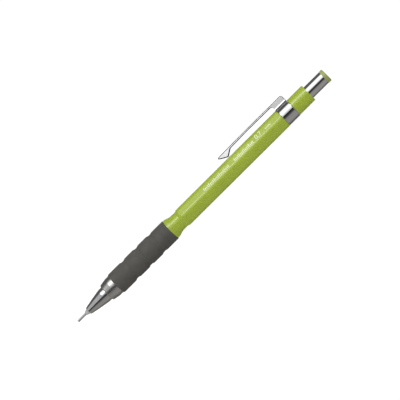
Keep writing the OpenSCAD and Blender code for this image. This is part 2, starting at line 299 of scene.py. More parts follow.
def gloss_plastic(name, light, dark, rough, peel, coat):
    """Moulded plastic: faint mottling, orange peel, handling scuffs, paler and duller along edges."""
    t = Tree(name)
    mottle = t.noise(0.16, 4.0)
    body = t.blend(t.ramp(mottle, (0.35, 0.0), (0.65, 1.0)), dark, light)
    edge = t.worn(0.515, 0.56)
    pale = tuple(min(1.0, c * 1.25 + 0.02) for c in light)
    t.set(Base_Color=t.blend(t.math("MULTIPLY", edge, 0.5), body, pale))
    scuffs = t.ramp(t.noise(2.2, 6.0, 0.65, (1, 1, 0.12)), (0.58, 0.0), (0.72, 1.0))
    dull = t.math("ADD", t.math("MULTIPLY", scuffs, 0.10), t.math("MULTIPLY", edge, 0.12))
    t.set(Roughness=t.math("ADD", t.math("ADD", dull, rough), t.math("MULTIPLY", mottle, 0.05)))
    t.set(IOR=1.5, Coat_Weight=coat, Coat_Roughness=0.08, Coat_IOR=1.6)
    t.bump((t.noise(1.1, 2.0), peel, 0.35), (t.noise(9.0, 2.0), 0.002, 0.2))
    return t.material


def turned_metal(name, colour, rough, lines=0.5):
    """Turned and plated metal: fine rings round the axis, hairline scratches, and brighter rubbed edges."""
    t = Tree(name)
    rings = t.noise(1.0, 3.0, 0.6, (0.02, 0.02, 14.0))
    hair = t.ramp(t.noise(3.0, 5.0, 0.7, (1.0, 1.0, 0.18)), (0.60, 0.0), (0.70, 1.0))
    smear = t.noise(0.35, 3.0)
    tint = t.blend(t.ramp(smear, (0.3, 0.0), (0.7, 1.0)), tuple(c * 0.93 for c in colour), colour)
    edge = t.worn(0.52, 0.57)
    bright = tuple(min(1.0, c + 0.08) for c in colour)
    t.set(Base_Color=t.blend(t.math("MULTIPLY", edge, 0.6), tint, bright), Metallic=1.0)
    spread = t.math("ADD", t.math("MULTIPLY", hair, 0.06), t.math("MULTIPLY", smear, 0.05))
    t.set(Roughness=t.math("ADD", t.math("ADD", spread, rough), t.math("MULTIPLY", rings, 0.04 * lines)))
    t.bump((rings, 0.0016 * lines, 0.5), (hair, 0.0012, 0.3))
    return t.material


def pressed_steel(name, colour, rough):
    """Pressed and polished sheet: grain along the clip, small scratches, and rubbed edges."""
    t = Tree(name)
    grain = t.noise(1.0, 4.0, 0.6, (6.0, 6.0, 0.25))
    marks = t.ramp(t.noise(2.6, 6.0, 0.7, (1.0, 1.0, 0.3)), (0.58, 0.0), (0.70, 1.0))
    smear = t.noise(0.3, 3.0)
    t.set(Base_Color=t.blend(smear, tuple(c * 0.92 for c in colour), colour), Metallic=1.0)
    spread = t.math("ADD", t.math("MULTIPLY", marks, 0.08), t.math("MULTIPLY", grain, 0.08))
    t.set(Roughness=t.math("ADD", spread, rough))
    t.bump((grain, 0.0015, 0.4), (marks, 0.0015, 0.3))
    return t.material


def matt_rubber(name, light, dark, rough, grit=0.02):
    """Moulded rubber: a fine sanded surface, dusty patches, and a polish where fingers rub."""
    t = Tree(name)
    patches = t.noise(0.22, 5.0, 0.6)
    dust = t.ramp(t.noise(5.5, 4.0, 0.7), (0.50, 0.0), (0.72, 1.0))
    body = t.blend(t.ramp(patches, (0.32, 0.0), (0.68, 1.0)), dark, light)
    pale = tuple(min(1.0, c * 1.6 + 0.012) for c in light)
    edge = t.worn(0.51, 0.55)
    share = t.math("ADD", t.math("MULTIPLY", dust, 0.18), t.math("MULTIPLY", edge, 0.35), True)
    t.set(Base_Color=t.blend(share, body, pale))
    rubbed = t.math("MULTIPLY", t.math("SUBTRACT", patches, 0.5), 0.25)
    t.set(Roughness=t.math("SUBTRACT", rough, rubbed))
    t.bump((t.noise(7.0, 3.0, 0.6), grit, 0.55), (t.cells(9.0), grit * 0.5, 0.3))
    return t.material


def milky_plastic(name, colour, rough, clear=0.0):
    """Plain moulded plastic, slightly cloudy, with flow marks along the part."""
    t = Tree(name)
    cloud = t.noise(0.5, 4.0)
    flow = t.noise(1.0, 4.0, 0.6, (1.4, 1.4, 0.15))
    t.set(Base_Color=t.blend(cloud, tuple(c * 0.9 for c in colour), colour))
    t.set(Roughness=t.math("ADD", rough, t.math("MULTIPLY", flow, 0.12)))
    t.shader.inputs["Transmission Weight"].default_value = clear
    t.bump((flow, 0.006, 0.3), (t.noise(8.0, 2.0), 0.002, 0.3))
    return t.material


def drawn_graphite(name):
    """Extruded lead: dark, with a greasy sheen and fine lines along its length."""
    t = Tree(name)
    lines = t.noise(1.0, 5.0, 0.65, (9.0, 9.0, 0.4))
    t.set(Base_Color=t.blend(lines, (0.018, 0.018, 0.02), (0.05, 0.05, 0.055)), Metallic=0.35)
    t.set(Roughness=t.math("ADD", 0.38, t.math("MULTIPLY", lines, 0.2)))
    t.bump((lines, 0.006, 0.5))
    return t.material


def print_ink(name):
    """Pad-printed pale ink: slightly uneven cover over the plastic."""
    t = Tree(name)
    cover = t.noise(6.0, 5.0, 0.65)
    thin, full = (0.50, 0.58, 0.26), (0.72, 0.77, 0.50)
    t.set(Base_Color=t.blend(t.ramp(cover, (0.3, 0.0), (0.55, 1.0)), thin, full))
    t.set(Roughness=t.math("ADD", 0.42, t.math("MULTIPLY", cover, 0.15)))
    t.bump((cover, 0.004, 0.4))
    return t.material


GREEN = gloss_plastic("green_plastic", (0.332, 0.426, 0.036), (0.306, 0.400, 0.031), 0.15, 0.005, 0.5)
CAP_GREEN = gloss_plastic("cap_green", (0.305, 0.338, 0.100), (0.275, 0.308, 0.088), 0.42, 0.012, 0.0)
CHROME = turned_metal("chrome", (0.84, 0.84, 0.85), 0.05)
BUTTON_CHROME = turned_metal("button_chrome", (0.86, 0.86, 0.87), 0.04, 0.3)
NOSE_METAL = turned_metal("nose_metal", (0.77, 0.77, 0.77), 0.14, 1.0)
COLLAR_METAL = turned_metal("collar_metal", (0.69, 0.685, 0.67), 0.23, 0.6)
CLIP_STEEL = pressed_steel("clip_steel", (0.86, 0.86, 0.86), 0.15)
SLEEVE_STEEL = turned_metal("sleeve_steel", (0.58, 0.58, 0.58), 0.42, 0.8)
HOLDER_PLASTIC = milky_plastic("holder_plastic", (0.40, 0.40, 0.39), 0.38)
RUBBER = matt_rubber("grip_rubber", (0.071, 0.068, 0.061), (0.058, 0.055, 0.048), 0.72)
INK = print_ink("print_ink")
BRASS = turned_metal("brass", (0.78, 0.57, 0.27), 0.16, 1.0)
SPRING_STEEL = turned_metal("spring_steel", (0.62, 0.62, 0.64), 0.22, 0.2)
WHITE_PLASTIC = milky_plastic("white_plastic", (0.78, 0.78, 0.75), 0.42)
TUBE_PLASTIC = milky_plastic("tube_plastic", (0.80, 0.84, 0.80), 0.30, 0.35)
RETAINER_RUBBER = matt_rubber("retainer_rubber", (0.03, 0.03, 0.03), (0.02, 0.02, 0.02), 0.6, 0.008)
ERASER_RUBBER = matt_rubber("eraser_rubber", (0.82, 0.81, 0.78), (0.76, 0.75, 0.72), 0.85, 0.02)
GRAPHITE = drawn_graphite("graphite")


# ---------------------------------------------------------------- barrel

def soft_min(a, b, width):
    """The smaller of two radii, with the crease between them rounded."""
    close = max(width - abs(a - b), 0) / width
    return min(a, b) - close * close * width / 4


def hexagon_radius(angle):
    """Reach of a hexagon with broad rounded corners: a flat towards -X and a corner towards -Y."""
    corner_share = 1 / math.cos(math.radians(30)) - 1
    fillet = (HEX_APOTHEM * (1 + corner_share) - HEX_CORNER) / corner_share
    centre = HEX_CORNER - fillet
    off = (math.degrees(angle) + 30) % 60 - 30
    flat_half = math.degrees(math.atan2(centre * math.sin(math.radians(30)), HEX_APOTHEM))
    if abs(off) <= flat_half:
        return HEX_APOTHEM / math.cos(math.radians(off))
    turn = math.radians(30 - abs(off))
    return centre * math.cos(turn) + math.sqrt(fillet ** 2 - (centre * math.sin(turn)) ** 2)


def barrel_shape(angle, r, z):
    """Cuts the barrel's outside down to the hexagon behind the waist."""
    if r < INNER_LIMIT or z < RIM_Z + 5:
        return r
    return soft_min(r, hexagon_radius(angle), 0.09)


def make_barrel():
    """The core under the grip, the rim and waist behind it, and the hexagon up to the clip's ring."""
    spigot, core, rim, waist, rear_bore = 3.5, 3.95, 4.76, 3.93, 3.55
    core_z = GRIP_Z + 5.2
    row_step = 0.07
    outline = rounded([
        (BORE, GRIP_Z, 0),
        (spigot, GRIP_Z, 0),
        (spigot, core_z, 0),
        (spigot + 0.02, core_z, 0),
        (core, core_z, 0.1),
        (core, RIM_Z + 0.02, 0),
        (rim, RIM_Z + 0.02, 0.12),
        (rim, RIM_Z + 1.05, 2.2),
        (waist + 0.12, RIM_Z + 3.2, 3.0),
        (waist, RIM_Z + 5.0, 8.0),
        (waist, RIM_Z + 6.25, 1.2),
        (HEX_CORNER, RIM_Z + 7.85, 1.0),
        (HEX_CORNER, BAND_Z - 1.05, 0.5),
        (4.22, BAND_Z, 0.08),
        (rear_bore, BAND_Z, 0),
        (rear_bore, REAR_SPIGOT_Z, 0),
        (BORE, REAR_SPIGOT_Z, 0),
    ])
    outline = refined(outline, RIM_Z + 6, RIM_Z + 9.2, row_step)
    outline = refined(outline, BAND_Z - 2.2, BAND_Z, row_step)
    turned("barrel_shell", outline, "barrel", GREEN, ["barrel"], barrel_shape, HEX_SEGMENTS)


def surface_point(across, z, lift):
    """A point of the printed facet: across is the distance from its middle line, towards the clip."""
    middle = math.radians(-120)
    angle = middle - across / HEX_APOTHEM
    reach = hexagon_radius(angle) + lift
    return reach * math.cos(angle), reach * math.sin(angle), z


def ink_patch(verts, faces, across, z, wide, tall, rows):
    """One printed mark: a thin raised patch that follows the facet."""
    base = len(verts)
    top, under = 0.012, -0.02
    for lift in (under, top):
        for i in range(rows + 1):
            for side in (0, 1):
                verts.append(surface_point(across + tall * (i / rows - 0.5), z + wide * (side - 0.5), lift))
    layer = 2 * (rows + 1)
    for i in range(rows):
        a = base + 2 * i
        faces.append((a, a + 1, a + 3, a + 2))
        faces.append((a + layer, a + layer + 1, a + layer + 3, a + layer + 2))
        faces.append((a, a + 2, a + layer + 2, a + layer))
        faces.append((a + 1, a + 3, a + layer + 3, a + layer + 1))
    last = base + 2 * rows
    faces.append((base, base + 1, base + layer + 1, base + layer))
    faces.append((last, last + 1, last + layer + 1, last + layer))


def print_ticks():
    """Bands of fine upright ticks along the facet, in place of lettering."""
    verts, faces = [], []
    wide, rows = 0.42, 7
    rises = (1.0, 0.7, 0.7, 0.85)
    for start, end, pitch, tall, middle in (
        (76.0, 90.9, 0.74, 1.35, -0.22),
        (93.6, 105.0, 0.70, 1.55, -0.24),
        (111.7, 115.3, 0.52, 0.72, -0.02),
    ):
        for k in range(int((end - start) / pitch)):
            rise = tall * rises[k % len(rises)]
            ink_patch(verts, faces, middle - (tall - rise) / 2, start + pitch * k, wide, rise, rows)
    finish_piece("print_ticks", verts, faces, "barrel", INK, [])


def print_size():
    """The lead's nominal size, printed on the same facet."""
    start, baseline, sunk, longest_edge = 105.8, -0.72, 0.004, 0.3
    curve = bpy.data.curves.new("size_text", "FONT")
    curve.body = "0.7"
    curve.size = 2.8
    curve.extrude = 0.016
    curve.offset = 0.03
    curve.align_x = "LEFT"
    source = bpy.data.objects.new("size_text", curve)
    bpy.context.scene.collection.objects.link(source)
    bpy.context.view_layer.update()
    graph = bpy.context.evaluated_depsgraph_get()
    flat = bpy.data.meshes.new_from_object(source.evaluated_get(graph))
    bpy.data.objects.remove(source)
    work = bmesh.new()
    work.from_mesh(flat)
    bmesh.ops.remove_doubles(work, verts=work.verts, dist=1e-4)
    bmesh.ops.triangulate(work, faces=work.faces)
    long_edges = [e for e in work.edges if e.calc_length() > longest_edge]
    bmesh.ops.subdivide_edges(work, edges=long_edges, cuts=2)
    bmesh.ops.triangulate(work, faces=work.faces)
    work.verts.index_update()
    verts = [surface_point(baseline + v.co.y, start + v.co.x, v.co.z - sunk) for v in work.verts]
    faces = [[v.index for v in f.verts] for f in work.faces]
    work.free()
    finish_piece("print_size", verts, faces, "barrel", INK, [])


# ---------------------------------------------------------------- grip and collar

def grip_radius(z):
    """The grip's outline: four bands, with a shallow soft groove between each two."""
    full, last, depth, half, floor_share = 5.028, 4.92, 0.35, 1.55, 0.28
    first, pitch = GRIP_Z + 8.37, 7.78
    step = min(max((z - (first + 2 * pitch - half)) / (2 * half), 0), 1)
    reach = full + (last - full) * step * step * (3 - 2 * step)
    for k in range(3):
        off = abs(z - (first + k * pitch)) / half
        fall = min(max((1 - off) / (1 - floor_share), 0), 1)
        reach -= (depth if k < 2 else depth - 0.06) * fall * fall * (3 - 2 * fall)
    return reach


def make_grip():
    """The rubber grip, with a rounded edge at each end."""
    inner = 3.97
    front = [(inner, GRIP_Z), (4.72, GRIP_Z), (4.90, GRIP_Z + 0.03), (4.98, GRIP_Z + 0.10)]
    back = [(4.90, RIM_Z - 0.06), (4.84, RIM_Z - 0.015), (4.70, RIM_Z), (inner, RIM_Z)]
    steps = 230
    low, high = GRIP_Z + 0.22, RIM_Z - 0.16
    rows = [low + (high - low) * k / steps for k in range(steps + 1)]
    outline = front + [(grip_radius(z), z) for z in rows] + back
    turned("grip_sleeve", outline, "barrel", RUBBER, ["grip"])


def make_collar():
    """The metal ring in front of the grip, with its spigot inside the barrel."""
    thread, spigot, mouth = 3.03, 3.48, 3.45
    outline = rounded([
        (thread, COLLAR_Z + 0.6, 0),
        (mouth, COLLAR_Z + 0.6, 0),
        (mouth, COLLAR_Z, 0.06),
        (4.08, COLLAR_Z, 0.16),
        (4.22, COLLAR_Z + 0.42, 0.5),
        (4.70, COLLAR_Z + 3.15, 1.2),
        (4.74, GRIP_Z, 0),
        (spigot, GRIP_Z, 0),
        (spigot, COLLAR_END, 0.15),
        (thread, COLLAR_END, 0),
    ])
    turned("collar_ring", outline, "barrel", COLLAR_METAL, ["front_collar"])


# ---------------------------------------------------------------- nose

THREAD_PITCH = 0.75
THREAD_DEPTH = 0.14
SHANK_R = 3.0


def nose_shape(angle, r, z):
    """Cuts a right-hand thread into the shank."""
    low, high = COLLAR_Z + 1.1, NOSE_END - 0.4
    if abs(r - SHANK_R) > 0.02 or not low < z < high:
        return r
    wave = abs(((z / THREAD_PITCH - angle / (2 * math.pi)) % 1) * 2 - 1)
    fade = min((z - low) / 0.4, (high - z) / 0.4, 1)
    return r - THREAD_DEPTH * fade * wave


def make_nose():
    """The nose cone and its threaded shank."""
    mouth, holder_bore, chuck_bore, rear = 1.41, 1.75, 2.2, 3.4
    straight = COLLAR_Z - 1.95
    shoulder = COLLAR_Z + 0.6
    holder_bore_z = NOSE_Z + 1.8
    outline = rounded([
        (mouth, NOSE_Z, 0.05),
        (1.75, NOSE_Z, 0.16),
        (2.63, NOSE_Z + 4.4, 30.0),
        (rear, straight, 0.9),
        (rear, shoulder, 0),
        (SHANK_R, shoulder, 0),
        (SHANK_R, NOSE_END, 0.2),
        (chuck_bore, NOSE_END, 0),
        (chuck_bore, BUSH_Z, 0),
        (holder_bore, BUSH_Z, 0),
        (holder_bore, holder_bore_z, 0),
        (mouth, holder_bore_z, 0),
    ])
    made = []
    for i, (r, z) in enumerate(outline):
        made.append((r, z))
        r2, z2 = outline[(i + 1) % len(outline)]
        if abs(r - SHANK_R) < 1e-6 and abs(r2 - SHANK_R) < 1e-6 and z2 - z > 1:
            cuts = int((z2 - z) / 0.06)
            made += [(r, z + (z2 - z) * k / cuts) for k in range(1, cuts)]
    turned("nose", made, "nose", NOSE_METAL, ["nose_cone"], nose_shape)


def make_sleeve():
    """The steel sleeve and the cone that holds it by its stepped root."""
    bore, outside, root = 0.4, 0.52, 0.70
    root_z = HOLDER_Z + 0.4
    pipe = rounded([
        (bore, 0, 0.04),
        (outside, 0, 0.05),
        (outside, root_z, 0),
        (root, root_z, 0),
        (root, SLEEVE_END, 0),
        (bore, SLEEVE_END, 0),
    ], 5, 0.03)
    turned("sleeve_pipe", pipe, "sleeve", SLEEVE_STEEL, ["lead_sleeve"], segments=64)
    sleeve_hole, root_hole, retainer_hole = 0.525, 0.71, 1.16
    neck, flange, back = 1.35, 1.7, 1.55
    flange_z = NOSE_Z + 1.9
    holder = rounded([
        (sleeve_hole, HOLDER_Z, 0),
        (0.66, HOLDER_Z, 0.1),
        (1.10, HOLDER_Z + 1.05, 1.6),
        (neck, NOSE_Z, 0.5),
        (neck, flange_z, 0),
        (flange, flange_z, 0.05),
        (flange, flange_z + 0.9, 0.05),
        (back, flange_z + 0.9, 0),
        (back, HOLDER_END, 0.1),
        (retainer_hole, HOLDER_END, 0),
        (retainer_hole, SLEEVE_END, 0),
        (root_hole, SLEEVE_END, 0),
        (root_hole, root_z - 0.01, 0),
        (sleeve_hole, root_z - 0.01, 0),
    ], 6, 0.03)
    turned("sleeve_cone", holder, "sleeve", HOLDER_PLASTIC, ["sleeve_holder"], segments=96)


# ---------------------------------------------------------------- rear barrel, button

def make_rear():
    """The round rear barrel, which plugs into the hexagon and carries the ring."""
    guide, button_bore, bore_floor = 2.3, 3.12, SHELL_Z - 3.5
    plug, ring_seat, outside = 3.53, 3.94, 4.15
    outline = rounded([
        (guide, REAR_SPIGOT_Z, 0),
        (plug, REAR_SPIGOT_Z, 0.1),
        (plug, BAND_Z + 0.02, 0),
        (ring_seat, BAND_Z + 0.02, 0),
        (ring_seat, BAND_END + 0.01, 0),
        (outside, BAND_END + 0.01, 0.08),
        (outside, BUTTON_Z, 0.22),
        (button_bore, BUTTON_Z, 0.1),
        (button_bore, bore_floor, 0),
        (guide, bore_floor, 0),
    ])
    turned("rear_sleeve", outline, "barrel", GREEN, ["rear_barrel"])


def make_button():
    """The chrome tube and the green cap, with a skirt that grips the lead tube."""
    inside, outside, cap_r = 2.8, 3.05, 3.07
    skirt_bore, pocket, pocket_end = 2.25, 2.05, CAP_Z - 0.5
    shell = rounded([
        (inside, SHELL_Z, 0),
        (outside, SHELL_Z, 0.1),
        (outside, CAP_Z, 0.07),
        (inside, CAP_Z, 0),
    ])
    turned("button_tube", shell, "button", BUTTON_CHROME, ["button_shell"])
    cap = rounded([
        (skirt_bore, SKIRT_Z, 0),
        (inside - 0.02, SKIRT_Z, 0.1),
        (inside - 0.02, CAP_Z, 0),
        (cap_r, CAP_Z, 0.05),
        (cap_r, TOP_Z - 0.10, 0.34),
        (2.30, TOP_Z - 0.02, 2.0),
        (0, TOP_Z, 0),
        (0, pocket_end, 0),
        (pocket, pocket_end, 0),
        (pocket, PLUG_END + 0.05, 0),
        (skirt_bore, PLUG_END + 0.05, 0),
    ])
    turned("button_end", cap, "button", CAP_GREEN, ["button_cap"])


# ---------------------------------------------------------------- clip

SHEET = 0.4
CHANNEL_START = FOOT_Z + 7.0
TAB_END = BAND_END - 0.2
CHANNEL_END = TAB_END - SHEET
FOOT_ROUND = 0.8
TAB_ROUND = 0.95
TAB_CORNER = 0.35


def lerp(z, *knots):
    """Piecewise straight interpolation through (z, value) knots."""
    if z <= knots[0][0]:
        return knots[0][1]
    for (z1, v1), (z2, v2) in zip(knots, knots[1:]):
        if z <= z2:
            return v1 + (v2 - v1) * (z - z1) / (z2 - z1)
    return knots[-1][1]


def rounded_off(u):
    """How far a quarter circle of radius 1 falls away, u along from where it starts."""
    return 1 - math.sqrt(max(1 - u * u, 0))


def clip_top(z):
    """Distance from the axis to the clip's outer face: a slight bow, and rounded ends."""
    share = (min(z, BAND_Z) - FOOT_Z) / (BAND_Z - FOOT_Z)
    reach = 7.198 + 0.727 * share - 0.527 * share * share
    foot_drop = 0.36
    if z < FOOT_Z + FOOT_ROUND:
        reach -= foot_drop * rounded_off(1 - (z - FOOT_Z) / FOOT_ROUND)
    if z > TAB_END - TAB_ROUND:
        reach -= TAB_ROUND * rounded_off((z - (TAB_END - TAB_ROUND)) / TAB_ROUND)
    return reach


def clip_underside_points():
    """The lower edge from the foot's end to the tab, as (z, distance) points."""
    keel, back = (FOOT_Z + 3.75, 4.42), (FOOT_Z + 6.75, 6.36)
    vertices = [
        (FOOT_Z - 1.0, 7.3, 0),
        (FOOT_Z, 6.55, 0.25),
        (FOOT_Z + 1.9, 5.36, 7.0),
        (*keel, 0.5),
        (*back, 1.0),
        (FOOT_Z + 16.0, 6.58, 30.0),
        (BAND_Z - 0.02, 6.50, 1.1),
        (BAND_Z - 0.02, 4.2, 0),
        (BAND_Z + 0.02, 4.2, 0),
        (TAB_END, 4.2, 0),
        (TAB_END, 9.0, 0),
    ]
    return [(x, y) for x, y in rounded(vertices, 9, 0.05) if FOOT_Z <= x <= TAB_END + 1e-6 and y < 7.0]


def underside_knots():
    """The lower edge as (z, distance) knots, one for each height."""
    merged = []
    for z, y in sorted(set((round(z, 4), y) for z, y in clip_underside_points())):
        if not merged or z - merged[-1][0] > 0.004:
            merged.append((z, y))
        else:
            merged[-1] = (merged[-1][0], max(merged[-1][1], y))
    return merged


def clip_stations(knots):
    """Heights of the sections: every knot, close ones over the rounded ends, and even ones along the arm."""
    tens, fifteens = range(0, 91, 10), range(0, 91, 15)
    extra = [FOOT_Z + 0.9 * (1 - math.cos(math.radians(a))) for a in tens]
    extra += [TAB_END - TAB_ROUND * (1 - math.sin(math.radians(a))) for a in tens]
    extra += [TAB_END - TAB_CORNER * (1 - math.sin(math.radians(a))) for a in fifteens]
    extra += [FOOT_Z + 0.7 * k for k in range(1, 52)] + [CHANNEL_START, CHANNEL_END]
    heights = [z for z, _ in knots] + [z for z in extra if FOOT_Z <= z <= TAB_END]
    stations = sorted(set(round(z, 4) for z in heights))
    needed = [round(z, 4) for z in (CHANNEL_START, CHANNEL_END, TAB_END)]
    kept = [stations[0]]
    for z in stations[1:]:
        if z - kept[-1] > 0.015 or z in needed:
            kept.append(z)
    return kept


def clip_sections():
    """Sections along the clip, each (z, outer reach, lower reach, half width below, half width above)."""
    knots = underside_knots()
    thinnest = 0.12
    made = []
    for z in clip_stations(knots):
        top = clip_top(z)
        under = min(lerp(z, *knots), top - thinnest)
        narrow = lerp(z, (FOOT_Z, 1.20), (BAND_Z, 1.62))
        if z < FOOT_Z + FOOT_ROUND:
            narrow -= FOOT_ROUND * rounded_off(1 - (z - FOOT_Z) / FOOT_ROUND)
        if z > TAB_END - TAB_CORNER:
            narrow -= TAB_CORNER * rounded_off((z - TAB_END + TAB_CORNER) / TAB_CORNER)
        tilt = math.radians(lerp(z, (BAND_Z - 3, 12.5), (BAND_Z, 7.5)))
        wide = narrow + (top - under) * math.tan(tilt)
        made.append((z, top, under, wide, narrow))
    return made


def lower_edge(z, top, under, wide, narrow):
    """The flank's lower end: leaning back inwards along the arm, flared out over the ring on the tab."""
    lean = math.atan2(wide - narrow, top - under)
    if z < BAND_Z - 0.03:
        run = min(lerp(z, (FOOT_Z + 6.5, 0.5), (FOOT_Z + 7.5, 0.33)), 0.4 * (top - under))
        bend = Vector((under + run, wide - run * math.tan(lean)))
        foot = Vector((under, bend.y - run * math.tan(math.radians(5))))
        turn = corner(foot, bend, Vector((top, narrow)), 0.25, 5)
        return [foot + Vector((0, -0.03)), foot] + turn
    spread, flare, start, rim = math.radians(44), 1.15, 5.12, 4.0
    across = narrow + (top - start) * math.tan(lean)
    arc = []
    for k in range(6):
        turn = spread + (lean - spread) * k / 5
        reach = start - flare * (math.sin(turn) - math.sin(lean))
        arc.append(Vector((reach, across + flare * (math.cos(lean) - math.cos(turn)))))
    rest = Vector((rim, arc[0].y + (arc[0].x - rim) * math.tan(spread)))
    return [Vector((3.62, 2.36)), rest] + arc


def held(points, hold=0.05):
    """Adds a point just inside each end of the long flank between the lower edge and the shoulder."""
    low, high = points
    along = high[0] - low[-1]
    step = along.normalized() * min(hold, along.length / 4)
    return low + [low[-1] + step, high[0] - step] + high


def section_points(z, top, under, wide, narrow, inset):
    """Half of a section, from its lower edge to the middle of its top, as (distance, across) points."""
    if inset:
        foot = Vector((under if z < BAND_Z - 0.03 else 3.75, wide - inset))
        shoulder = Vector((top - inset, narrow - inset))
        edge = max(min(0.3, 0.45 * (shoulder.x - foot.x)), 0.02)
        return [foot] + corner(foot, shoulder, Vector((shoulder.x, 0)), edge, 6)
    low = lower_edge(z, top, under, wide, narrow)
    chamfer = max(min(0.34, 0.4 * (top - under), 0.5 * narrow), 0.02)
    lean = (wide - narrow) / (top - under)
    shoulder = Vector((top - chamfer, narrow + chamfer * lean))
    brow = Vector((top, narrow - chamfer * 0.9))
    small = chamfer * 0.3
    high = corner(low[-1], shoulder, brow, small, 3) + corner(shoulder, brow, Vector((top, 0)), small, 3)
    return held((low, high))


def make_clip():
    """The clip as one bent sheet: an outer skin, and a channel inside it where the sheet is folded."""
    sections = clip_sections()
    verts, outer, inner = [], [], []
    for z, top, under, wide, narrow in sections:
        half = section_points(z, top, under, wide, narrow, 0)
        loop = half + [Vector((p.x, -p.y)) for p in reversed(half)]
        outer.append(range(len(verts), len(verts) + len(loop)))
        verts += [(-p.x, -p.y, z) for p in loop]
        open_here = CHANNEL_START - 1e-3 <= z <= CHANNEL_END + 1e-3
        if open_here:
            half = section_points(z, top, under, wide, narrow, SHEET * 0.9)
            loop = half + [Vector((p.x, -p.y)) for p in reversed(half)]
            inner.append(range(len(verts), len(verts) + len(loop)))
            verts += [(-p.x, -p.y, z) for p in loop]
        else:
            inner.append(None)
    faces = [tuple(outer[0]), tuple(reversed(outer[-1]))]
    for i in range(len(sections) - 1):
        a, b = outer[i], outer[i + 1]
        faces += [(a[k], a[k + 1], b[k + 1], b[k]) for k in range(len(a) - 1)]
        c, d = inner[i], inner[i + 1]
        if c and d:
            faces += [(c[k + 1], c[k], d[k], d[k + 1]) for k in range(len(c) - 1)]
            faces += [(a[0], b[0], d[0], c[0]), (a[-1], c[-1], d[-1], b[-1])]
        else:
            rim_a = [a[0], a[-1]] if not c else [a[0], c[0], c[-1], a[-1]]
            rim_b = [b[-1], b[0]] if not d else [b[-1], d[-1], d[0], b[0]]
            faces.append(tuple(rim_a + rim_b))
            wall = c or d
            if wall:
                faces.append(tuple(wall))
    clip = finish_piece("clip", verts, faces, None, CLIP_STEEL, ["clip_arm"], 38)
    face = -clip_top(BAND_Z) * MM
    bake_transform(clip)


def make_band():
    """The clip's ring round the rear barrel."""
    outline = rounded([
        (BAND_BORE, BAND_Z, 0.03),
        (BAND_R, BAND_Z, 0.3),
        (BAND_R, BAND_END, 0.3),
        (BAND_BORE, BAND_END, 0.03),
    ])
    turned("clip_ring", outline, "barrel", CHROME, ["clip_band"])


# ---------------------------------------------------------------- spring and inner parts

def make_spring():
    """A round-wire spring with closed ends."""
    mean_r, wire_r, sides, per_turn = 1.95, 0.2, 12, 28
    low, high = SPRING_Z + wire_r, SPRING_END - wire_r
    dead = 2 * wire_r * 1.02
    knots = ((0, low), (1, low + dead), (9, high - dead), (10, high))
    rings = 10 * per_turn
    verts, faces = [], []
    for i in range(rings + 1):
        turn = i / per_turn
        angle = 2 * math.pi * turn
        z = lerp(turn, *knots)
        for k in range(sides):
            side = 2 * math.pi * k / sides
            r = mean_r + wire_r * math.cos(side)
            verts.append((r * math.cos(angle), r * math.sin(angle), z + wire_r * math.sin(side)))
    for i in range(rings):
        for k in range(sides):
            a, b = i * sides + k, i * sides + (k + 1) % sides
            faces.append((a, b, b + sides, a + sides))
    faces += [tuple(range(sides)), tuple(range(rings * sides, (rings + 1) * sides))]
    nodes = ["chuck_spring"]
    spring = finish_piece("return_spring", verts, faces, "barrel", SPRING_STEEL, nodes)
    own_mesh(spring)


def paint_inner_parts():
    """The CAD nodes that stay take their finish here."""
    finishes = {
        "sleeve_stop_bush": BRASS,
        "lead_retainer": RETAINER_RUBBER,
        "chuck_housing": WHITE_PLASTIC,
        "clutch_ring": BRASS,
        "chuck_base": BRASS,
        "chuck_jaw_1": BRASS,
        "chuck_jaw_2": BRASS,
        "chuck_jaw_3": BRASS,
        "tube_connector": WHITE_PLASTIC,
        "lead_tube": TUBE_PLASTIC,
        "eraser_holder": WHITE_PLASTIC,
        "eraser": ERASER_RUBBER,
        "lead": GRAPHITE,
        "spare_leads": GRAPHITE,
    }
    for name, material in finishes.items():
        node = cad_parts[name]
        for place in node.material_slots:
            place.material = material


# ---------------------------------------------------------------- studio

def soft_sun(name, around, above, strength, spread):
    """A broad soft light that polished surfaces don't mirror. around is the angle from -Y, + towards +X."""
    light = bpy.data.lights.new(name, "SUN")
    light.energy = strength
    light.angle = math.radians(spread)
    obj = bpy.data.objects.new(name, light)
    a, e = math.radians(around), math.radians(above)
    towards = Vector((math.sin(a) * math.cos(e), -math.cos(a) * math.cos(e), math.sin(e)))
    obj.rotation_mode = "QUATERNION"
    obj.rotation_quaternion = towards.to_track_quat("Z", "Y")
    obj.visible_glossy = False
    bpy.context.scene.collection.objects.link(obj)


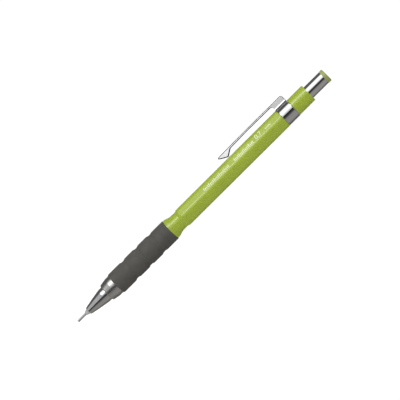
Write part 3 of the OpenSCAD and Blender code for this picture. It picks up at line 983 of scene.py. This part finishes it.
def make_world():
    """White to the camera. Polished surfaces see soft boxes and dark cards, by direction round the pencil."""
    world = bpy.data.worlds.new("studio")
    bpy.context.scene.world = world
    world.use_nodes = True
    world.cycles_visibility.diffuse = False
    tree = world.node_tree
    nodes, links = tree.nodes, tree.links
    nodes.clear()

    def node(kind, **settings):
        made = nodes.new(kind)
        for key, value in settings.items():
            setattr(made, key, value)
        return made

    def math_node(operation, a, b=0.0, clamp=False):
        made = node("ShaderNodeMath", operation=operation, use_clamp=clamp)
        for socket, value in zip(made.inputs, (a, b)):
            if isinstance(value, bpy.types.NodeSocket):
                links.new(value, socket)
            else:
                socket.default_value = value
        return made.outputs[0]

    def mixed(value, low, high, a, b):
        """Turns smoothly from a to b as the value goes from low to high."""
        share = node("ShaderNodeMapRange", interpolation_type="SMOOTHSTEP")
        links.new(value, share.inputs["Value"])
        share.inputs["From Min"].default_value = low
        share.inputs["From Max"].default_value = high
        mix = node("ShaderNodeMix", data_type="VECTOR")
        links.new(share.outputs[0], mix.inputs["Factor"])
        ends = {socket.identifier: socket for socket in mix.inputs}
        links.new(a, ends["A_Vector"])
        if isinstance(b, tuple):
            ends["B_Vector"].default_value = b
        else:
            links.new(b, ends["B_Vector"])
        return next(socket for socket in mix.outputs if socket.type == "VECTOR")

    direction = node("ShaderNodeSeparateXYZ")
    links.new(node("ShaderNodeTexCoord").outputs["Generated"], direction.inputs[0])
    x, y, z = direction.outputs
    around = math_node("ARCTAN2", x, math_node("MULTIPLY", y, -1.0))
    share = math_node("ADD", math_node("DIVIDE", around, 2 * math.pi), 0.5)

    peak = 4.2
    bands = node("ShaderNodeValToRGB")
    links.new(share, bands.inputs["Fac"])
    levels = (
        (-180, 0.12), (-172, 0.14), (-166, 1.1), (-152, 1.1), (-146, 0.12), (-84, 0.10), (-78, 0.12),
        (-73, 0.95), (-61, 1.10), (-56, 1.7), (-50, peak), (-43, peak), (-37, 1.7), (-31, 1.15),
        (-24, 1.0), (-20, 0.80), (-11, 0.62), (-7, 0.03), (0, 0.012), (6, 0.03), (14, 0.05), (21, 0.09),
        (32, 0.26), (70, 0.30), (103, 0.24), (112, 0.10), (142, 0.12), (149, 1.1), (165, 1.1),
        (172, 0.14), (180, 0.12),
    )
    elements = bands.color_ramp.elements
    while len(elements) < len(levels):
        elements.new(0.5)
    for element, (degrees, level) in zip(elements, levels):
        element.position = (degrees + 180) / 360
        warm = (1.04, 1.0, 0.95) if degrees > 20 and level > 0.2 else (1.0, 1.0, 1.0)
        element.color = (*(level * w / peak for w in warm), 1)
    scaled = node("ShaderNodeVectorMath", operation="SCALE")
    links.new(bands.outputs["Color"], scaled.inputs[0])
    scaled.inputs["Scale"].default_value = peak

    low_cap = node("ShaderNodeVectorMath", operation="MINIMUM")
    links.new(scaled.outputs[0], low_cap.inputs[0])
    low_cap.inputs[1].default_value = (0.50, 0.50, 0.51)
    seen = mixed(z, -0.22, -0.34, scaled.outputs[0], low_cap.outputs[0])
    ended = mixed(math_node("ABSOLUTE", z), 0.55, 0.75, seen, (0.24, 0.24, 0.24))

    reflected = node("ShaderNodeBackground")
    links.new(ended, reflected.inputs["Color"])
    backdrop = node("ShaderNodeBackground")
    backdrop.inputs["Color"].default_value = (1, 1, 1, 1)
    backdrop.inputs["Strength"].default_value = 1.05
    choose = node("ShaderNodeMixShader")
    links.new(node("ShaderNodeLightPath").outputs["Is Camera Ray"], choose.inputs[0])
    links.new(reflected.outputs[0], choose.inputs[1])
    links.new(backdrop.outputs[0], choose.inputs[2])
    links.new(choose.outputs[0], node("ShaderNodeOutputWorld").inputs["Surface"])


def make_floor():
    """A plain pale floor below the tip, with a faint mottle."""
    t = Tree("floor_card")
    pale, paler = (0.84, 0.84, 0.83), (0.88, 0.88, 0.87)
    t.set(Base_Color=t.blend(t.noise(0.004, 3.0), pale, paler), Roughness=0.9)
    t.set(Emission_Color=(1, 1, 1, 1), Emission_Strength=0.45)
    t.bump((t.noise(0.05, 2.0), 0.05, 0.2))
    reach, sides, level = 0.9, 96, -0.068
    mesh = bpy.data.meshes.new("floor")
    ring = [2 * math.pi * k / sides for k in range(sides)]
    verts = [(reach * math.cos(a), reach * math.sin(a), level) for a in ring]
    mesh.from_pydata(verts, [], [tuple(range(sides))])
    mesh.materials.append(t.material)
    floor = bpy.data.objects.new("floor", mesh)
    bpy.context.scene.collection.objects.link(floor)
    floor.visible_glossy = False


def make_camera():
    """A long lens a metre away, raised a little and rolled so that the pencil lies diagonally."""
    distance, raised, pencil_slope = 1.0, math.radians(4.3), math.radians(44.8)
    frame_width, off_right, off_up = 165.2, 0.76, 0.57
    back = Vector((0, -math.cos(raised), math.sin(raised)))
    side = Vector((1, 0, 0))
    along = back.cross(side).normalized()
    right = along * math.cos(pencil_slope) + side * math.sin(pencil_slope)
    up = along * math.sin(pencil_slope) - side * math.cos(pencil_slope)
    lens = bpy.data.cameras.new("camera")
    lens.sensor_width = 36
    lens.lens = lens.sensor_width * distance / (frame_width * MM)
    lens.clip_start, lens.clip_end = 0.05, 20
    cam = bpy.data.objects.new("camera", lens)
    aim = Vector((0, 0, TOP_Z / 2 * MM)) - right * off_right * MM - up * off_up * MM
    cam.matrix_world = basis(right, up, back, aim + back * distance)
    bpy.context.scene.collection.objects.link(cam)
    bpy.context.scene.camera = cam


def basis(right, up, back, place):
    """A camera's matrix from its axes and its place."""
    return Matrix((
        (right.x, up.x, back.x, place.x),
        (right.y, up.y, back.y, place.y),
        (right.z, up.z, back.z, place.z),
        (0, 0, 0, 1),
    ))


make_camera()
make_world()
make_floor()
soft_sun("key", -50, 20, 2.6, 110)
soft_sun("fill", 55, 10, 0.58, 120)
soft_sun("behind", 178, 15, 1.0, 120)
soft_sun("overhead", 0, 88, 0.9, 120)
make_barrel()
print_ticks()
print_size()
make_grip()
make_collar()
make_nose()
make_sleeve()
make_rear()
make_button()
make_band()
make_clip()
make_spring()
paint_inner_parts()
bpy.context.scene.view_settings.view_transform = "Standard"
